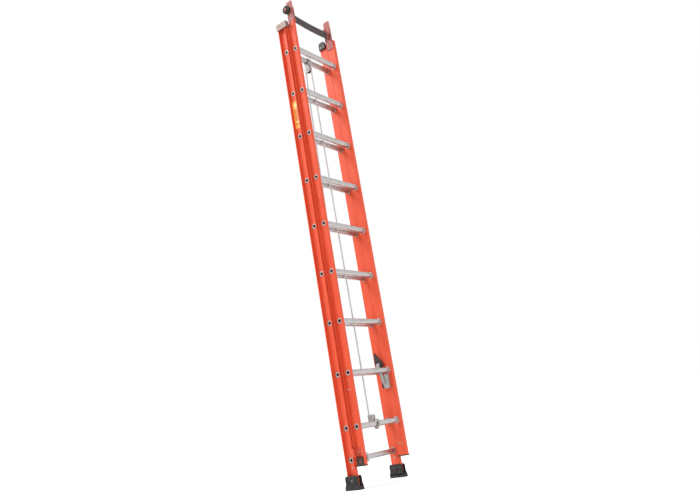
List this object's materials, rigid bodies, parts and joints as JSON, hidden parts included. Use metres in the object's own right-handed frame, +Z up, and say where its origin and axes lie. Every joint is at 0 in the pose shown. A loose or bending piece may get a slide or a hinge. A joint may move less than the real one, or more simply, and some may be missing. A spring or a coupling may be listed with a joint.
{
  "type": "extension ladder",
  "caption": "Sliding fibreglass extension ladder with aluminium rungs, rope and pulley, rung locks, wall rollers and rubber boots.",
  "frame": {"origin": "on the ground, under the middle of the footprint of both sections", "axes": "+Z up the rails, +X from the left rail to the right rail, -Y from the base section to the fly section and the climber"},
  "size_m": [0.4606, 0.155, 3.085],
  "materials": {
    "fibreglass": "orange pultruded fibreglass, satin",
    "rung_aluminium": "mill-finish extrusion",
    "zinc_metal": "zinc plated",
    "bracket_metal": "satin pinkish grey",
    "painted_metal": "satin orange",
    "rubber": "moulded, matte",
    "black_plastic": "moulded",
    "strap_rubber": "ribbed, matte",
    "rope": "three strands, laid",
    "sticker": "blank vinyl"
  },
  "bodies": {
    "base": {"base_rail_left": "fibreglass", "base_rail_right": "fibreglass", "base_rung_0": "rung_aluminium", "base_rung_1": "rung_aluminium", "base_rung_2": "rung_aluminium", "base_rung_3": "rung_aluminium", "base_rung_4": "rung_aluminium", "base_rung_5": "rung_aluminium", "base_rung_6": "rung_aluminium", "base_rung_7": "rung_aluminium", "base_rung_8": "rung_aluminium", "base_rung_9": "rung_aluminium", "boot_left": "rubber", "boot_right": "rubber", "top_guide_left": "zinc_metal", "top_guide_right": "zinc_metal", "top_block_left": "black_plastic", "top_block_right": "black_plastic", "pulley_housing": "zinc_metal", "pulley_pin": "zinc_metal", "rope_hoist_leg": "rope", "rope_over_sheave": "rope", "rope_hauling_leg": "rope", "rope_hitch": "rope", "sticker": "sticker"},
    "fly": {"fly_rail_left": "fibreglass", "fly_rail_right": "fibreglass", "fly_rung_1": "rung_aluminium", "fly_rung_2": "rung_aluminium", "fly_rung_3": "rung_aluminium", "fly_rung_4": "rung_aluminium", "fly_rung_5": "rung_aluminium", "fly_rung_6": "rung_aluminium", "fly_rung_7": "rung_aluminium", "fly_rung_8": "rung_aluminium", "fly_rung_9": "rung_aluminium", "fly_cap_left": "black_plastic", "fly_cap_right": "black_plastic", "bottom_guide_left": "painted_metal", "bottom_guide_right": "painted_metal", "top_bracket_left": "bracket_metal", "top_bracket_right": "bracket_metal", "roller_axle_left": "bracket_metal", "roller_axle_right": "bracket_metal", "pole_strap": "strap_rubber", "rope_clamp": "zinc_metal", "lock_body_left": "zinc_metal", "lock_body_right": "zinc_metal", "lock_pin_left": "zinc_metal", "lock_pin_right": "zinc_metal"},
    "sheave": {"sheave": "black_plastic"},
    "wall_roller_left": {"wall_roller_left": "rubber"},
    "wall_roller_right": {"wall_roller_right": "rubber"},
    "lock_hook_left": {"lock_hook_left": "zinc_metal"},
    "lock_hook_right": {"lock_hook_right": "zinc_metal"},
    "lock_flipper_left": {"lock_flipper_left": "black_plastic"},
    "lock_flipper_right": {"lock_flipper_right": "black_plastic"}
  },
  "joints": [
    {"name": "fly_slide", "type": "slide", "parent": "base", "child": "fly", "axis": [0, 0, 1], "range_m": [0, 1.8], "deforming": ["rope_hoist_leg"]},
    {"name": "sheave_spin", "type": "hinge", "parent": "base", "child": "sheave", "pos_m": [-0.012, 0.0225, 2.67], "axis": [1, 0, 0], "continuous": true},
    {"name": "wall_roller_left_spin", "type": "hinge", "parent": "fly", "child": "wall_roller_left", "pos_m": [-0.2017, -0.0255, 3.025], "axis": [1, 0, 0], "continuous": true},
    {"name": "wall_roller_right_spin", "type": "hinge", "parent": "fly", "child": "wall_roller_right", "pos_m": [0.2017, -0.0255, 3.025], "axis": [1, 0, 0], "continuous": true},
    {"name": "lock_hook_left_swing", "type": "hinge", "parent": "fly", "child": "lock_hook_left", "pos_m": [-0.167, -0.0175, 0.564], "axis": [1, 0, 0], "range_deg": [0, 12.5]},
    {"name": "lock_hook_right_swing", "type": "hinge", "parent": "fly", "child": "lock_hook_right", "pos_m": [0.167, -0.0175, 0.564], "axis": [1, 0, 0], "range_deg": [0, 12.5]},
    {"name": "lock_flipper_left_swing", "type": "hinge", "parent": "lock_hook_left", "child": "lock_flipper_left", "pos_m": [-0.175, 0.0005, 0.668], "axis": [1, 0, 0], "range_deg": [0, 30]},
    {"name": "lock_flipper_right_swing", "type": "hinge", "parent": "lock_hook_right", "child": "lock_flipper_right", "pos_m": [0.175, 0.0005, 0.668], "axis": [1, 0, 0], "range_deg": [0, 30]}
  ]
}
